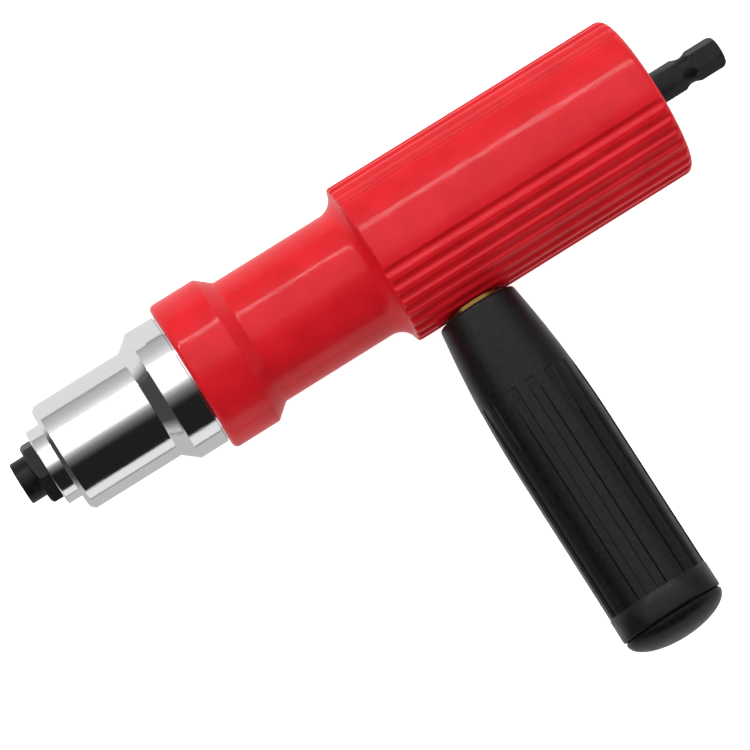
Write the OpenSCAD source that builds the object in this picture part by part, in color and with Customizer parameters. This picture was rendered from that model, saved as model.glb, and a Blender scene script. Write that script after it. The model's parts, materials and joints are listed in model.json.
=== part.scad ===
// Blind-rivet puller driven by an electric drill, in millimetres.
// The origin is the centre of the nosepiece's front face. +X runs along the tool to its tail,
// the side handle points along -Y, and +Z is up with the tool lying on its side.

/* [Nosepiece] */
// Bore that the rivet's mandrel passes through
mandrel_bore_d = 3.3; // [2.4:0.1:4]
// Diameter of the round boss that presses on the rivet
nose_boss_d = 12; // [10:0.5:15]
// Length of the round boss
nose_boss_len = 4.5; // [3:0.5:9]
// Width across the flats of the nosepiece hexagon
nose_hex_af = 16; // [15:0.5:20]
// Thickness of the nosepiece hexagon
nose_hex_len = 3.5; // [3:0.5:8]
// Outer diameter of the nosepiece thread
nose_thread_d = 12; // [10:0.5:15]
// Diameter of the spout that pushes the jaws open
spout_d = 6.6; // [6:0.2:7.2]

/* [Front sleeve] */
// Diameter of the thin ring behind the nosepiece
ring_d = 22; // [20:0.5:27]
// Length of the thin ring
ring_len = 4.3; // [3:0.1:8]
// Outer diameter of the plain sleeve
sleeve_d = 31.5; // [30:0.5:38]
// Length of the plain sleeve
sleeve_len = 27.4; // [22:0.1:40]
// Length of the flare in front of the flange
flare_len = 3.7; // [2:0.1:6]
// Diameter of the sleeve's flange
flange_d = 38.3; // [37.5:0.1:46]
// Width of the two spanner flats on the flange
flange_af = 36; // [34:0.5:37]
// Length of the spanner flats
flat_len = 3.7; // [2:0.1:6]
// Length of the flange that shows in front of the collar
flange_len = 9.2; // [7:0.1:14]
// Thickness of the wall that the nosepiece screws into
front_wall = 9; // [7:0.5:12]

/* [Housing] */
// Diameter of the collar that holds the front sleeve
collar_d = 43.6; // [42:0.1:54]
// Length of the collar
collar_len = 13.8; // [11:0.1:20]
// Length of the taper from the collar to the neck
taper_len = 4.2; // [2:0.1:8]
// Diameter of the neck
neck_d = 36.6; // [35:0.1:43]
// Length of the neck
neck_len = 32.8; // [27:0.1:45]
// Radius of the fillet from the neck to the barrel
shoulder_r = 5.3; // [3:0.1:7]
// Diameter of the fluted barrel
barrel_d = 47; // [46:0.5:60]
// Length of the fluted barrel
barrel_len = 86; // [71:0.5:110]
// Radius of the barrel's tail edge
tail_edge_r = 2.6; // [1:0.1:3]
// Angle from one flute to the next
flute_step = 10; // [8:0.5:14]
// Number of flutes on each side of the barrel
flutes_per_side = 13; // [5:2:13]
// Radius of the cutter that made the flutes
flute_r = 1.5; // [1:0.1:2]
// Depth of the flutes
flute_depth = 0.8; // [0.4:0.1:1.2]

/* [Drive] */
// Width across the flats of the drive shank
shank_af = 8; // [6:0.25:11]
// Length of the drive shank behind the barrel
shank_len = 22.5; // [19:0.5:35]
// Distance from the shank's tip to the middle of its ball groove
groove_from_tip = 10.6; // [8:0.1:14]
// Depth of the ball groove below the shank's corners
groove_depth = 0.8; // [0.4:0.1:1.5]
// Radius of the ball groove's outline
groove_r = 3.7; // [2:0.1:5]
// Outer diameter of the drive screw
screw_d = 14; // [12:0.5:16]
// Distance from one screw thread to the next
screw_pitch = 2; // [1.5:0.25:4]
// How far the jaws are pulled back in one stroke
stroke = 14; // [8:0.5:17]
// Length of the pull nut
nut_len = 24; // [18:0.5:30]
// Outer diameter of the pull nut
nut_d = 25; // [24:0.5:26]
// Outer diameter of both bearings
bearing_d = 35; // [34:0.5:36]
// Width of each bearing
bearing_w = 10; // [9:0.5:12]
// Distance from the barrel's front to the thrust bearing's seat
seat_depth = 25.3; // [24:0.1:32]

/* [Jaws] */
// Outer diameter of the jaw case
jaw_case_d = 24.6; // [24:0.1:26]
// Length of each jaw
jaw_len = 18.4; // [16:0.2:20]
// Half angle of the cone that closes the jaws
cone_angle = 12.5; // [10:0.5:14]
// How far the jaws slide along the tool between open and closed
jaw_travel = 3; // [2:0.1:3.4]
// Distance from one jaw tooth to the next
tooth_pitch = 1.66; // [1:0.02:2.2]

/* [Side handle] */
// Distance from the barrel's front to the handle's axis
handle_from_shoulder = 17.1; // [14:0.1:40]
// Gap between the barrel and the handle's top face, which the washer fills
handle_gap = 0.8; // [0.5:0.1:4]
// Length of the handle without its cap
grip_len = 95.2; // [80:0.1:125]
// Diameter of the handle's grip
grip_d = 29; // [27:0.5:35]
// Diameter of the handle at its top face
grip_top_d = 22.4; // [20:0.1:26]
// Length over which the handle swells to its full diameter
grip_swell_len = 43; // [38:0.5:55]
// Distance from the handle's top face to the start of its ribs
rib_start = 24.4; // [20:0.5:34]
// Number of ribs round the grip
grip_ribs = 15; // [12:1:18]
// Length of the domed cap that shows
cap_len = 6.8; // [5:0.1:10]
// Thread diameter of the handle's stud
stud_d = 10; // [8:0.5:12]

/* [Hidden] */
$fa = 4;
$fs = 0.4;

// Clearances
run_gap = 0.08;      // radial gap of a shaft or slide that runs in its bore
seat_gap = 0.03;     // radial gap of a piece that is pressed or screwed home
free_gap = 0.45;     // radial gap where nothing may touch
ball_gap = 0.05;     // gap round a ball in its race
face_gap = 0.1;      // gap between two faces that meet at the end of a travel
past = 1;            // how far a cutter runs past the face that it opens

// Edges and threads
edge = 0.5;          // chamfer on turned ends
thread_pitch = 1.5;  // pitch of the joint threads
thread_start = 0.6;  // plain length before a thread
clear_corner = 0.1;  // how far turned work stands outside a hexagon's corners

// Colours
paint_red = [0.80, 0.17, 0.20];
chrome = [0.80, 0.80, 0.80];
black_steel = [0.12, 0.12, 0.13];
black_plastic = [0.10, 0.10, 0.11];
plain_steel = [0.62, 0.63, 0.65];
bearing_steel = [0.72, 0.73, 0.75];
tool_steel = [0.45, 0.46, 0.48];
bronze = [0.72, 0.54, 0.30];
zinc = [0.74, 0.74, 0.70];
rubber_black = [0.06, 0.06, 0.06];

// Places along the tool, from the nosepiece's front face to the shank's tip
x_hex = nose_boss_len;
x_ring = x_hex + nose_hex_len;
x_sleeve = x_ring + ring_len;
x_flare = x_sleeve + sleeve_len;
x_flange = x_flare + flare_len;
x_collar = x_flange + flange_len;
x_taper = x_collar + collar_len;
x_neck = x_taper + taper_len;
x_fillet = x_neck + neck_len;
x_barrel = x_fillet + shoulder_r;
x_tail = x_barrel + barrel_len;
x_tip = x_tail + shank_len;
x_wall = x_ring + front_wall;

// Front sleeve
case_r = jaw_case_d / 2;
front_bore_r = case_r + free_gap;
joint_thread_r = flange_d / 2 - 2;
x_joint_end = x_collar + collar_len - 2.4;
sleeve_edge = 1.2;
collar_edge_r = 1.5;
barrel_edge_r = 0.8;
land_turn = 12;        // turn of the smooth lands from square to the handle
flat_turn = 33;        // where the sleeve and the nosepiece stop when they are screwed home
nose_turn = 48;

// Drive train, placed from the thrust bearing's seat in the barrel
seat_r = bearing_d / 2;
x_seat = x_barrel + seat_depth;
x_thrust_end = x_seat + bearing_w;
spindle_flange_len = 4;
x_bearing = x_thrust_end + spindle_flange_len + 1;
x_bearing_end = x_bearing + bearing_w;
thrust_shaft_r = 10;
bearing_shaft_r = 8.5;
journal_r = 8;
bush_r = journal_r + 2;
seal_r = journal_r + 3.5;
circlip_w = 1.2;
circlip_depth = 0.8;
circlip_opening = 4;
x_circlip = x_bearing_end + seat_gap;
shank_turn = 58;
cover_thread_r = seat_r + 1.5;
x_cover_end = x_tail - 1.2;
x_cover = x_cover_end - 12;
x_cover_face = x_cover + 0.2;
x_seal = x_cover_end - 4;
spanner_hole_r = 1.6;
screw_r = screw_d / 2;
x_screw_end = x_seat - 6;
x_nut_end = x_screw_end - 2 - stroke;
x_nut = x_nut_end - nut_len;
nut_r = nut_d / 2;
guide_bore_r = nut_r + run_gap;
guide_r = guide_bore_r + 2.4;
x_guide = x_nut - 2;
housing_bore_r = min(guide_r - free_gap, joint_thread_r - 1.5);
key_w = 6;
key_len = 12;
key_top_r = guide_r - 0.3;
key_seat_r = nut_r - 2;
x_key = x_nut + (nut_len - key_len) / 2;
x_key_screw = x_key + key_len / 2;
key_screw_r = 1.5;
key_head_r = 2.5;
key_head_len = 1.6;
slot_gap = 0.06;
key_turns = [90, 270];
x_pin = x_guide + 5;
pin_r = 1.5;

// Jaw head, placed from the wall that the nosepiece screws into
x_case = x_wall + 3;
jaw_rise = jaw_travel * tan(cone_angle);
jaw_front_r = 4.16;
jaw_back_r = 6.93;
jaw_land_r = 1.25;
jaw_parting = 0.3;
cone_skin = 0.05 / cos(cone_angle);
x_jaw = x_case + 4;
x_jaw_back = x_jaw + jaw_len;
spout_r = spout_d / 2;
x_spout_end = x_jaw + jaw_travel - face_gap;
case_mouth_r = spout_r + 0.6;
case_bore_r = jaw_back_r + jaw_rise + 0.7;
case_cone_end = x_jaw + (case_bore_r - jaw_front_r - cone_skin) / tan(cone_angle);
x_case_thread = max(case_cone_end, x_jaw_back + jaw_travel) + 1.2;
tube_r = case_r - 1.3;
tube_thread_r = case_r - 2.5;
x_case_end = x_case_thread + 8;
x_lock_nut = x_case_end + face_gap;
x_lock_nut_end = x_lock_nut + 5;
spring_bore_r = 7.9;
pusher_r = spring_bore_r - run_gap;
pusher_cone_r = 5;
pusher_bore_r = 2;
x_pusher_base = x_jaw_back + jaw_travel + 1.3;
x_pusher_end = x_pusher_base + 4;
pusher_spigot_r = 5.2;
x_spring = x_pusher_end + face_gap;
x_spigot_end = x_spring + 4;
x_spring_end = x_spring + 15;
spring_wire = 1.2;
spring_coils = 6;
spring_r = spring_bore_r - 0.5 - spring_wire / 2;
x_septum_end = x_spring_end + 3;
x_tube_end = x_nut + 7.6;
nut_socket_r = nut_r - 3.5;

// Side handle
x_handle = x_barrel + handle_from_shoulder;
barrel_r = barrel_d / 2;
spot_y = barrel_r - 0.7;
handle_y = barrel_r + handle_gap;
washer_r = 8;
stud_r = stud_d / 2;
stud_y = guide_r + 0.8;
stud_head_r = stud_r + 3;
stud_head_len = 6;
stud_end = 34;
grip_r = grip_d / 2;
grip_top_r = grip_top_d / 2;
grip_edge = 1;
swell_r = (pow(grip_swell_len, 2) + pow(grip_r - grip_top_r, 2)) / (2 * (grip_r - grip_top_r));
band_len = 7;
band_rise = 0.2;
grip_core_r = grip_r - 4;
grip_core_len = grip_len - stud_end - 20;
cap_socket_r = grip_core_r + 1;
cap_socket_len = 5;
rib_slot_w = PI * grip_r / grip_ribs;  // as wide as a rib
rib_slot_depth = 0.8;
rib_turn = 3;                          // turn of the ribs from the tool's axis
y_grip_end = handle_y + grip_len;
cap_r = grip_r - 0.1;
cap_edge = 0.7;

// Local z becomes +X, so that lathe work lies along the tool
module along_x(x = 0) {
    translate([x, 0, 0]) rotate([90, 0, 90]) children();
}

// Local z becomes -Y, so that lathe work lies along the handle
module along_handle(y = 0) {
    translate([x_handle, -y, 0]) rotate([90, 0, 0]) children();
}

// Lathe work along the tool from points of [radius, x]
module turned(points) {
    along_x() rotate_extrude(convexity = 8) polygon(points);
}

// Round bar or cutter along the tool from x0 to x1
module rod(r, x0, x1) {
    along_x(x0) cylinder(r = r, h = x1 - x0);
}

// Tube along the tool
module pipe(r_out, r_in, x0, x1) {
    difference() {
        rod(r_out, x0, x1);
        rod(r_in, x0 - past, x1 + past);
    }
}

// Hexagonal bar along the tool
module hexagon(af, x0, x1, turn = 0) {
    along_x(x0) rotate([0, 0, turn]) cylinder(d = af / cos(30), h = x1 - x0, $fn = 6);
}

// Points of a quarter circle in [radius, x], from angle a0 to a1 about the centre [cr, cx]
function arc(cr, cx, r, a0, a1, steps = 8) =
    [for (i = [0 : steps]) let (a = a0 + (a1 - a0) * i / steps) [cr + r * cos(a), cx + r * sin(a)]];

// Root radius of a thread whose crests are at radius r
function thread_root(r, pitch = thread_pitch) = r - 0.6 * pitch;

// Outline of a row of thread crests between x0 and x1, as plain rings
function thread_rings(r, x0, x1, pitch = thread_pitch) =
    let (n = floor((x1 - x0) / pitch), root = thread_root(r, pitch))
    concat(
        [for (i = [0 : n - 1]) each [
            [root, x0 + i * pitch],
            [r, x0 + (i + 0.4) * pitch],
            [r, x0 + (i + 0.6) * pitch]
        ]],
        [[root, x0 + n * pitch], [root, x1]]);

// ---- Outside pieces on the housing ----

module flutes() {
    half_side = (flutes_per_side - 1) / 2;
    for (side = [0, 180], i = [-half_side : half_side])
        rotate([side + i * flute_step - land_turn, 0, 0])
            translate([0, -(barrel_r - flute_depth + flute_r), 0])
                rod(flute_r, x_fillet, x_tail + past);
}

module housing() color(paint_red) difference() {
    fillet_r = neck_d / 2 + shoulder_r;
    fillet_turn = acos(max(0, (fillet_r - barrel_r + barrel_edge_r) / shoulder_r));
    turned(concat(
        [[0, x_collar]],
        arc(collar_d / 2 - collar_edge_r, x_collar + collar_edge_r, collar_edge_r, -90, 0),
        [[collar_d / 2, x_taper], [neck_d / 2, x_neck]],
        arc(fillet_r, x_fillet, shoulder_r, 180, 180 - fillet_turn),
        arc(barrel_r - barrel_edge_r, x_barrel + barrel_edge_r, barrel_edge_r, -90, 0, 4),
        arc(barrel_r - tail_edge_r, x_tail - tail_edge_r, tail_edge_r, 0, 90),
        [[0, x_tail]]));
    flutes();
    // socket for the front sleeve
    rod(joint_thread_r + seat_gap, x_collar - past, x_joint_end + edge);
    // through bore, guide bore, bearing bore and cover thread
    rod(housing_bore_r, x_collar, x_tail);
    rod(guide_r + seat_gap, x_guide, x_tail);
    rod(seat_r + seat_gap, x_seat, x_tail);
    rod(cover_thread_r + seat_gap, x_cover, x_tail + past);
    // flat and threaded hole for the side handle
    along_handle(spot_y) cylinder(r = washer_r + edge, h = barrel_r);
    along_handle(stud_y - free_gap) cylinder(r = stud_r + seat_gap, h = barrel_r);
    // hole for the pin that holds the guide sleeve
    rotate([180, 0, 0]) translate([x_pin, 0, 0]) cylinder(r = pin_r + seat_gap, h = neck_d);
}

module front_sleeve() color(chrome) difference() {
    union() {
        intersection() {
            turned([
                [0, x_ring], [ring_d / 2 - edge, x_ring], [ring_d / 2, x_ring + edge],
                [ring_d / 2, x_sleeve], [sleeve_d / 2 - sleeve_edge, x_sleeve],
                [sleeve_d / 2, x_sleeve + sleeve_edge], [sleeve_d / 2, x_flare],
                [flange_d / 2 - edge, x_flange], [flange_d / 2, x_flange + edge],
                [flange_d / 2, x_collar], [0, x_collar]
            ]);
            union() {
                rotate([flat_turn, 0, 0])
                    translate([0, -flange_af / 2, -flange_d])
                        cube([x_flange + flat_len, flange_af, 2 * flange_d]);
                rod(flange_d, x_flange + flat_len, x_collar);
            }
        }
        turned(concat(
            [[0, x_collar - past], [thread_root(joint_thread_r), x_collar - past]],
            thread_rings(joint_thread_r, x_collar + thread_start, x_joint_end),
            [[0, x_joint_end]]));
    }
    rod(nose_thread_d / 2 + seat_gap, x_ring - past, x_wall + past);
    rod(front_bore_r, x_wall, x_joint_end + past);
}

module nosepiece() color(black_steel) difference() {
    boss_r = nose_boss_d / 2;
    thread_r = nose_thread_d / 2;
    face_r = nose_hex_af / 2 - 0.2;
    corner_r = nose_hex_af / 2 / cos(30) + clear_corner;
    union() {
        turned(concat(
            [[0, 0], [boss_r - edge, 0], [boss_r, edge], [boss_r, x_hex],
             [thread_root(thread_r), x_hex]],
            thread_rings(thread_r, x_ring + thread_start, x_wall - edge),
            [[spout_r, x_wall - edge], [spout_r, x_spout_end - edge],
             [spout_r - edge, x_spout_end], [0, x_spout_end]]));
        intersection() {
            hexagon(nose_hex_af, x_hex, x_ring, nose_turn);
            turned([
                [0, x_hex], [face_r, x_hex], [corner_r, x_hex + (corner_r - face_r) * tan(30)],
                [corner_r, x_ring], [0, x_ring]
            ]);
        }
    }
    rod(mandrel_bore_d / 2, -past, x_spout_end + past);
    turned([
        [0, -past], [mandrel_bore_d / 2 + edge + past, -past], [mandrel_bore_d / 2, edge], [0, edge]
    ]);
}

module rear_cover() color(black_steel) difference() {
    turned(concat(
        [[0, x_cover_face], [thread_root(cover_thread_r), x_cover_face]],
        thread_rings(cover_thread_r, x_cover_face + thread_start, x_cover_end - 2),
        [[cover_thread_r, x_cover_end - 2], [cover_thread_r, x_cover_end - edge],
         [cover_thread_r - edge, x_cover_end], [0, x_cover_end]]));
    rod(bush_r + seat_gap, x_cover, x_seal);
    rod(seal_r, x_seal, x_cover_end + past);
    // holes for a pin spanner
    for (turn = [0, 180])
        rotate([turn, 0, 0]) translate([0, 0, (seal_r + cover_thread_r) / 2])
            rod(spanner_hole_r, x_seal, x_cover_end + past);
}

module rear_bush() color(bronze)
    pipe(bush_r, journal_r + run_gap, x_cover_face, x_seal);

// Ring whose inner edge is a lip on the journal
module rear_seal() color(rubber_black) turned([
    [journal_r + run_gap, x_cover_end - 2.6], [journal_r + run_gap, x_cover_end - 1.8],
    [journal_r + 1.2, x_cover_end - edge], [seal_r - seat_gap, x_cover_end - edge],
    [seal_r - seat_gap, x_seal + seat_gap], [journal_r + 1.2, x_seal + seat_gap]
]);

// ---- Fixed pieces inside the housing ----

module guide_sleeve() color(plain_steel) difference() {
    pipe(guide_r, guide_bore_r, x_guide + seat_gap, x_seat - seat_gap);
    // slots that the keys slide in
    for (turn = key_turns)
        rotate([turn, 0, 0]) translate([0, -key_w / 2 - slot_gap, 0])
            cube([x_key + key_len + stroke + past, key_w + 2 * slot_gap, guide_r + past]);
    rotate([180, 0, 0]) translate([x_pin, 0, 0]) cylinder(r = pin_r + seat_gap, h = guide_r + past);
}

module sleeve_pin() color(plain_steel)
    rotate([180, 0, 0]) translate([x_pin, 0, guide_bore_r + edge])
        cylinder(r = pin_r, h = neck_d / 2 - guide_bore_r - 2 * edge);

thrust_pitch_r = (thrust_shaft_r + seat_r) / 2;
thrust_ball_r = 0.275 * bearing_w;
thrust_ball_count = 12;
x_thrust_mid = x_seat + bearing_w / 2;
thrust_washer_w = bearing_w / 2 - thrust_ball_r + 0.5;

module thrust_race() {
    along_x(x_thrust_mid) rotate_extrude()
        translate([thrust_pitch_r, 0]) circle(r = thrust_ball_r + ball_gap);
}

module thrust_washer_front() color(bearing_steel) difference() {
    pipe(seat_r, thrust_shaft_r + 0.5, x_seat + seat_gap, x_seat + thrust_washer_w);
    thrust_race();
}

module thrust_washer_rear() color(bearing_steel) difference() {
    pipe(seat_r - 0.4, thrust_shaft_r, x_thrust_end - thrust_washer_w, x_thrust_end - seat_gap);
    thrust_race();
}

module thrust_ball_places() {
    for (i = [0 : thrust_ball_count - 1])
        rotate([360 * i / thrust_ball_count, 0, 0])
            translate([x_thrust_mid, 0, thrust_pitch_r]) children();
}

module thrust_cage() color(bronze) difference() {
    pipe(seat_r - 0.9, thrust_shaft_r + 0.7, x_thrust_mid - 1.2, x_thrust_mid + 1.2);
    thrust_ball_places() sphere(r = thrust_ball_r + ball_gap);
}

module thrust_balls() color(bearing_steel) thrust_ball_places() sphere(r = thrust_ball_r);

race_pitch_r = (bearing_shaft_r + seat_r) / 2;
race_ball_r = 2.4;
race_ball_count = 10;
race_land = 2.5;
x_race_mid = x_bearing + bearing_w / 2;

module race_groove() {
    along_x(x_race_mid) rotate_extrude()
        translate([race_pitch_r, 0]) circle(r = race_ball_r + ball_gap);
}

module bearing_outer_ring() color(bearing_steel) difference() {
    pipe(seat_r, seat_r - race_land, x_bearing, x_bearing_end);
    race_groove();
}

module bearing_inner_ring() color(bearing_steel) difference() {
    pipe(bearing_shaft_r + race_land, bearing_shaft_r, x_bearing + seat_gap, x_bearing_end - seat_gap);
    race_groove();
}

module race_ball_places() {
    for (i = [0 : race_ball_count - 1])
        rotate([360 * i / race_ball_count, 0, 0])
            translate([x_race_mid, 0, race_pitch_r]) children();
}

module bearing_cage() color(bronze) difference() {
    pipe(race_pitch_r + 0.8, race_pitch_r - 0.8, x_race_mid - 3.2, x_race_mid + 3.2);
    race_ball_places() sphere(r = race_ball_r + ball_gap);
}

module bearing_balls() color(bearing_steel) race_ball_places() sphere(r = race_ball_r);

module bearing_spacer() color(plain_steel)
    pipe(seat_r, seat_r - race_land, x_bearing_end + seat_gap, x_cover_face - seat_gap);

// ---- Spindle that the drill turns ----

module drive_spindle() color(black_steel) difference() {
    seat_shaft_r = bearing_shaft_r - seat_gap;
    flange_r = seat_r - 3;
    x_flange_end = x_thrust_end + spindle_flange_len;
    groove_end = x_circlip + circlip_w + face_gap;
    shank_corner_r = shank_af / 2 / cos(30);
    shank_r = shank_corner_r + clear_corner;
    tip_r = 1.8;
    union() {
        turned(concat(
            [[0, x_nut], [thread_root(screw_r, screw_pitch), x_nut]],
            thread_rings(screw_r, x_nut + thread_start, x_screw_end, screw_pitch),
            [[thrust_shaft_r - edge, x_screw_end], [thrust_shaft_r - edge, x_seat],
             [thrust_shaft_r - seat_gap, x_seat], [thrust_shaft_r - seat_gap, x_thrust_end],
             [flange_r, x_thrust_end], [flange_r, x_flange_end],
             [bearing_shaft_r + 1.5, x_flange_end], [bearing_shaft_r + 1.5, x_bearing],
             [seat_shaft_r, x_bearing], [seat_shaft_r, x_circlip],
             [bearing_shaft_r - circlip_depth, x_circlip],
             [bearing_shaft_r - circlip_depth, groove_end], [seat_shaft_r, groove_end],
             [seat_shaft_r, groove_end + 1.5], [journal_r, groove_end + 2],
             [journal_r, x_cover_end - edge], [journal_r - edge, x_cover_end], [0, x_cover_end]]));
        intersection() {
            hexagon(shank_af, x_cover_end - past, x_tip, shank_turn);
            turned(concat(
                [[0, x_cover_end - past], [shank_r, x_cover_end - past], [shank_r, x_tip - tip_r]],
                arc(shank_r - tip_r, x_tip - tip_r, tip_r, 20, 90, 5),
                [[0, x_tip]]));
        }
    }
    // ball groove of the shank
    along_x(x_tip - groove_from_tip) rotate_extrude()
        translate([shank_corner_r - groove_depth + groove_r, 0]) circle(r = groove_r);
}

module spindle_circlip() color(plain_steel) difference() {
    pipe(bearing_shaft_r + 1.8, bearing_shaft_r - circlip_depth + face_gap,
        x_circlip + face_gap / 2, x_circlip + face_gap / 2 + circlip_w);
    // gap in the ring
    translate([x_circlip - past, -circlip_opening / 2, 0])
        cube([circlip_w + 2 * past, circlip_opening, seat_r]);
}

// ---- Head that is pulled back ----

module pull_nut() color(bronze) difference() {
    rod(nut_r, x_nut, x_nut_end);
    rod(screw_r + run_gap, x_nut - past, x_nut_end + past);
    // socket for the pull tube
    rod(nut_socket_r + seat_gap, x_nut - past, x_tube_end + face_gap);
    for (turn = key_turns) rotate([turn, 0, 0]) {
        translate([x_key - seat_gap, -key_w / 2 - seat_gap, key_seat_r])
            cube([key_len + 2 * seat_gap, key_w + 2 * seat_gap, nut_r]);
        translate([x_key_screw, 0, screw_r + 0.8]) cylinder(r = key_screw_r + seat_gap, h = nut_r);
    }
}

module guide_keys() color(tool_steel)
    for (turn = key_turns) rotate([turn, 0, 0]) difference() {
        translate([x_key, -key_w / 2, key_seat_r + seat_gap])
            cube([key_len, key_w, key_top_r - key_seat_r]);
        translate([x_key_screw, 0, 0]) cylinder(r = key_screw_r + seat_gap, h = guide_r + past);
        translate([x_key_screw, 0, key_top_r - key_head_len])
            cylinder(r = key_head_r + face_gap, h = guide_r);
    }

// Socket screws that hold the keys, with their heads sunk in them
module key_screws() color(black_steel)
    for (turn = key_turns) rotate([turn, 0, 0]) translate([x_key_screw, 0, 0]) {
        z_head = key_top_r - key_head_len + seat_gap;
        translate([0, 0, screw_r + 1]) cylinder(r = key_screw_r, h = z_head + seat_gap - screw_r - 1);
        difference() {
            translate([0, 0, z_head]) cylinder(r = key_head_r, h = key_head_len - 0.2);
            translate([0, 0, z_head + edge]) cylinder(d = 2, h = key_head_len, $fn = 6);
        }
    }

module pull_tube() color(plain_steel) difference() {
    turned(concat(
        [[0, x_case_thread + face_gap], [thread_root(tube_thread_r, 1), x_case_thread + face_gap]],
        thread_rings(tube_thread_r, x_case_thread + thread_start, x_lock_nut_end + edge, 1),
        [[tube_r, x_lock_nut_end + 1], [tube_r, x_nut - seat_gap],
         [nut_socket_r, x_nut - seat_gap], [nut_socket_r, x_tube_end], [0, x_tube_end]]));
    rod(spring_bore_r, x_case_thread - past, x_spring_end);
    rod(pusher_bore_r + 0.2, x_spring_end - past, x_septum_end + past);
    rod(screw_r + free_gap, x_septum_end, x_tube_end + past);
}

module jaw_case() color(tool_steel) difference() {
    turned([
        [0, x_case], [case_r - 1.5, x_case], [case_r, x_case + 1.5],
        [case_r, x_case_end - edge], [case_r - edge, x_case_end], [0, x_case_end]
    ]);
    rod(case_mouth_r, x_case - past, x_case_thread);
    // cone that the jaws slide in, run on to the front face
    turned([
        [0, x_case], [jaw_front_r + cone_skin - (x_jaw - x_case) * tan(cone_angle), x_case],
        [case_bore_r, case_cone_end], [case_bore_r, x_case_thread + past], [0, x_case_thread + past]
    ]);
    rod(tube_thread_r + seat_gap, x_case_thread, x_case_end + past);
    // spanner flats
    for (turn = [0, 180]) rotate([turn, 0, 0])
        translate([x_case_end - 7, -case_r, case_r - 0.9]) cube([5, 2 * case_r, case_r]);
}

module jaw_case_lock_nut() color(plain_steel) difference() {
    slot_w = 3;
    pipe(case_r - face_gap, tube_thread_r + seat_gap, x_lock_nut, x_lock_nut_end);
    for (i = [0 : 3]) rotate([90 * i, 0, 0])
        translate([x_lock_nut - past, -slot_w / 2, case_r - 1.4])
            cube([x_lock_nut_end - x_lock_nut + 2 * past, slot_w, case_r]);
}

// One of three jaws, drawn closed and moved back along the cone to its open place
module jaw(turn) {
    x_full = x_jaw + (jaw_back_r - jaw_front_r) / tan(cone_angle);
    tooth_count = floor((jaw_len - 4) / tooth_pitch);
    tooth_lead = 0.3;
    rotate([turn, 0, 0]) translate([jaw_travel, 0, jaw_rise]) difference() {
        turned([
            [0, x_jaw], [jaw_front_r - edge, x_jaw], [jaw_front_r + edge * tan(cone_angle), x_jaw + edge],
            [jaw_back_r, x_full], [jaw_back_r, x_jaw_back],
            [pusher_cone_r, x_jaw_back], [0, x_jaw_back - pusher_cone_r]
        ]);
        // the two flat sides, which leave a third of the circle
        for (side = [-1, 1])
            rotate([side * 60, 0, 0])
                translate([x_jaw - past, side < 0 ? -jaw_parting / 2 : jaw_parting / 2 - case_r, -case_r])
                    cube([jaw_len + 2 * past, case_r, 2 * case_r]);
        // land for the mandrel, with teeth across it
        rod(jaw_land_r, x_jaw - past, x_jaw_back + past);
        for (i = [0 : tooth_count - 1]) {
            x_tooth = x_jaw + tooth_lead + i * tooth_pitch;
            turned([
                [0, x_tooth + 0.2], [jaw_land_r + 0.1, x_tooth + 0.2],
                [jaw_land_r + 0.6, x_tooth + 0.3], [jaw_land_r, x_tooth + tooth_pitch],
                [0, x_tooth + tooth_pitch]
            ]);
        }
    }
}

module jaw_1() color(tool_steel) jaw(0);
module jaw_2() color(tool_steel) jaw(120);
module jaw_3() color(tool_steel) jaw(240);

// The pusher's cone meets the jaws' bevel at 45 degrees; it stands back by the gap between them
module jaw_pusher() color(plain_steel) difference() {
    x_apex = x_jaw_back - pusher_cone_r + jaw_travel - jaw_rise / 2 + 0.15;
    nose_r = pusher_bore_r + 0.6;
    turned([
        [0, x_apex + nose_r], [nose_r, x_apex + nose_r],
        [pusher_cone_r, x_apex + pusher_cone_r], [pusher_cone_r, x_pusher_base],
        [pusher_r, x_pusher_base], [pusher_r, x_pusher_end],
        [pusher_spigot_r, x_pusher_end], [pusher_spigot_r, x_spigot_end], [0, x_spigot_end]
    ]);
    rod(pusher_bore_r, x_jaw, x_spigot_end + past);
}

// Helical spring with closed ends, swept as rings of points round the helix
spring_sides = 6;
spring_steps = 14;
spring_turns = spring_coils + 2;
spring_close = 1.05 * spring_wire;
spring_x0 = x_spring + spring_wire / 2 + face_gap;
spring_x1 = x_spring_end - spring_wire / 2 - face_gap;
spring_pitch = (spring_x1 - spring_x0 - 2 * spring_close) / spring_coils;

// Place along the tool of the wire after t turns
function spring_x(t) =
    t < 1 ? spring_x0 + t * spring_close
    : t < spring_turns - 1 ? spring_x0 + spring_close + (t - 1) * spring_pitch
    : spring_x1 - (spring_turns - t) * spring_close;

module jaw_spring() color(plain_steel) {
    n = spring_turns * spring_steps;
    points = [for (i = [0 : n], k = [0 : spring_sides - 1])
        let (
            a = 360 * i / spring_steps,
            b = 360 * k / spring_sides,
            r = spring_r + spring_wire / 2 * cos(b)
        )
        [spring_x(i / spring_steps) + spring_wire / 2 * sin(b), r * cos(a), r * sin(a)]];
    skin = [for (i = [0 : n - 1], k = [0 : spring_sides - 1])
        let (k2 = (k + 1) % spring_sides, here = i * spring_sides, there = here + spring_sides)
        [here + k, here + k2, there + k2, there + k]];
    first_end = [for (k = [spring_sides - 1 : -1 : 0]) k];
    last_end = [for (k = [0 : spring_sides - 1]) n * spring_sides + k];
    polyhedron(points, concat([first_end], skin, [last_end]));
}

// ---- Side handle ----

module handle_washer() color(zinc) difference() {
    along_handle(spot_y + seat_gap) cylinder(r = washer_r, h = handle_y - spot_y - 2 * seat_gap);
    along_handle(spot_y - past) cylinder(r = stud_r + free_gap, h = handle_y);
}

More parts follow.
